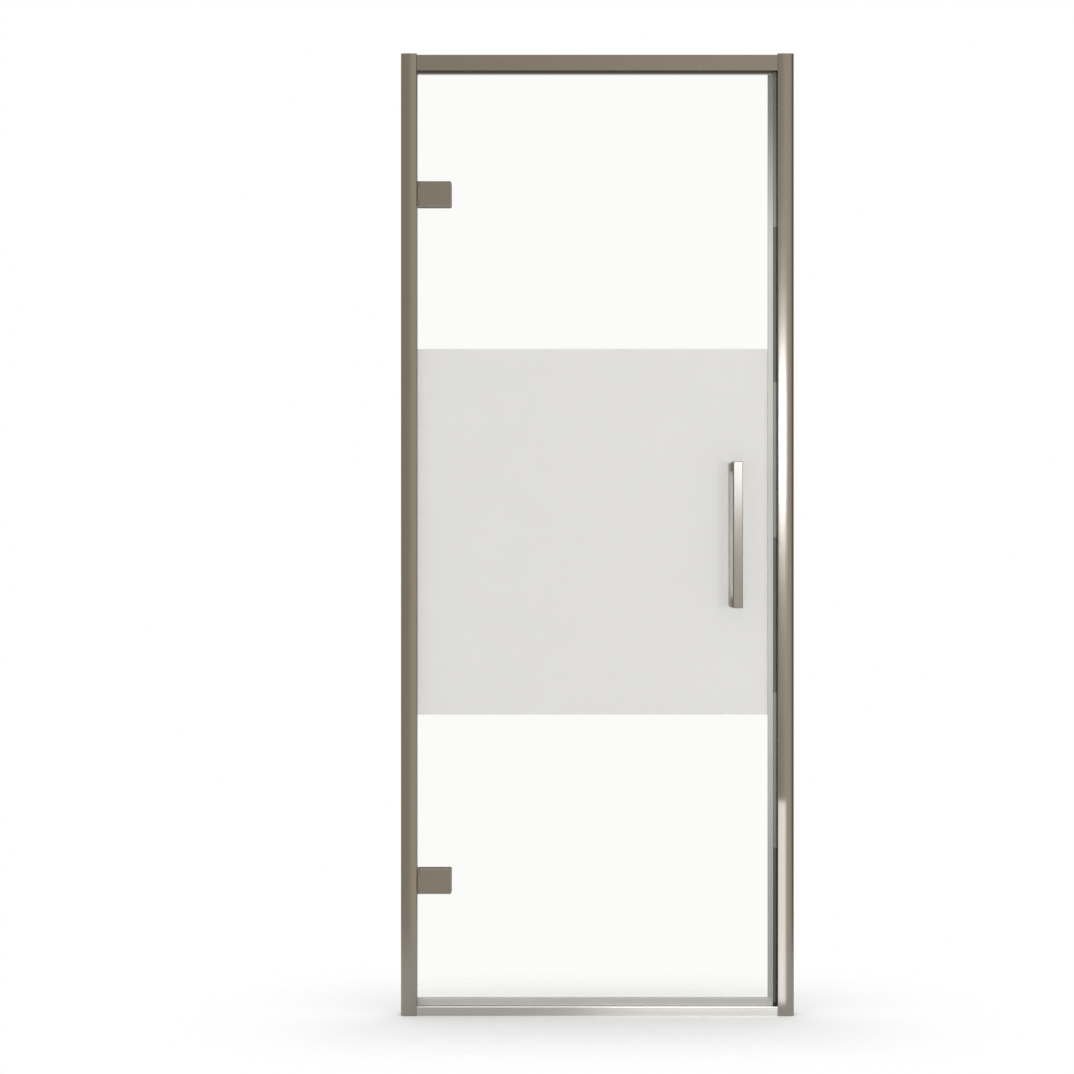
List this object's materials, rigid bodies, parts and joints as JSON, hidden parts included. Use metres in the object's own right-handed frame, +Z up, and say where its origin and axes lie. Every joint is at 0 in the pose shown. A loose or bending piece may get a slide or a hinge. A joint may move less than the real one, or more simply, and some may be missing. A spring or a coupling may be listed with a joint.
{
  "type": "pivot shower door",
  "caption": "Framed pivot shower door for an alcove: a glass panel with a frosted band swings on side hinges in a metal frame, with bar handles, seals and a magnetic closing edge.",
  "frame": {"origin": "middle of the sill's underside, where the frame stands on the curb", "axes": "+X from the hinge side to the strike side, +Y from outside into the shower, +Z up; the door is closed"},
  "size_m": [0.7056, 0.105, 1.727],
  "materials": {
    "brushed_nickel": "brushed nickel plate on an extrusion or casting",
    "sill_nickel": "brushed nickel, worn a little smoother",
    "handle_nickel": "fine brushed nickel",
    "steel_screws": "plain stainless",
    "plain_steel": "turned or sawn",
    "glass": "clear toughened, polished edges",
    "frosted_glass": "acid-etched",
    "clear_seal": "translucent extrusion",
    "magnet_profile": "translucent grey extrusion",
    "clear_gasket": "clear soft sheet",
    "magnet": "flexible magnetic strip",
    "nylon": "moulded",
    "black_rubber": "moulded"
  },
  "bodies": {
    "frame": {"hinge_side_wall_jamb": "brushed_nickel", "strike_side_wall_jamb": "brushed_nickel", "hinge_post": "brushed_nickel", "strike_post": "brushed_nickel", "hinge_post_cap": "brushed_nickel", "strike_post_cap": "brushed_nickel", "header": "brushed_nickel", "sill": "sill_nickel", "header_screws": "steel_screws", "sill_screws": "steel_screws", "jamb_lock_screws": "steel_screws", "hinge_leaf_upper": "brushed_nickel", "hinge_leaf_lower": "brushed_nickel", "hinge_leaf_screws": "steel_screws", "hinge_nut_plates": "plain_steel", "hinge_pins": "plain_steel", "strike_magnet_profile": "magnet_profile", "strike_magnets": "magnet", "corner_block": "black_rubber"},
    "door": {"door_glass": "glass", "frosted_band": "frosted_glass", "hinge_front_plate_upper": "brushed_nickel", "hinge_front_plate_lower": "brushed_nickel", "hinge_back_plate_upper": "brushed_nickel", "hinge_back_plate_lower": "brushed_nickel", "hinge_gaskets": "clear_gasket", "hinge_clamp_screws": "steel_screws", "hinge_bushes": "nylon", "outside_handle": "handle_nickel", "inside_handle": "handle_nickel", "handle_studs": "plain_steel", "handle_washers": "clear_gasket", "handle_set_screws": "steel_screws", "strike_edge_seal": "clear_seal", "door_magnet": "magnet", "bottom_sweep": "clear_seal"}
  },
  "joints": [
    {"name": "door_swing", "type": "hinge", "parent": "frame", "child": "door", "pos_m": [-0.32095, -0.011, 0], "axis": [0, 0, -1], "range_deg": [0, 100]}
  ]
}
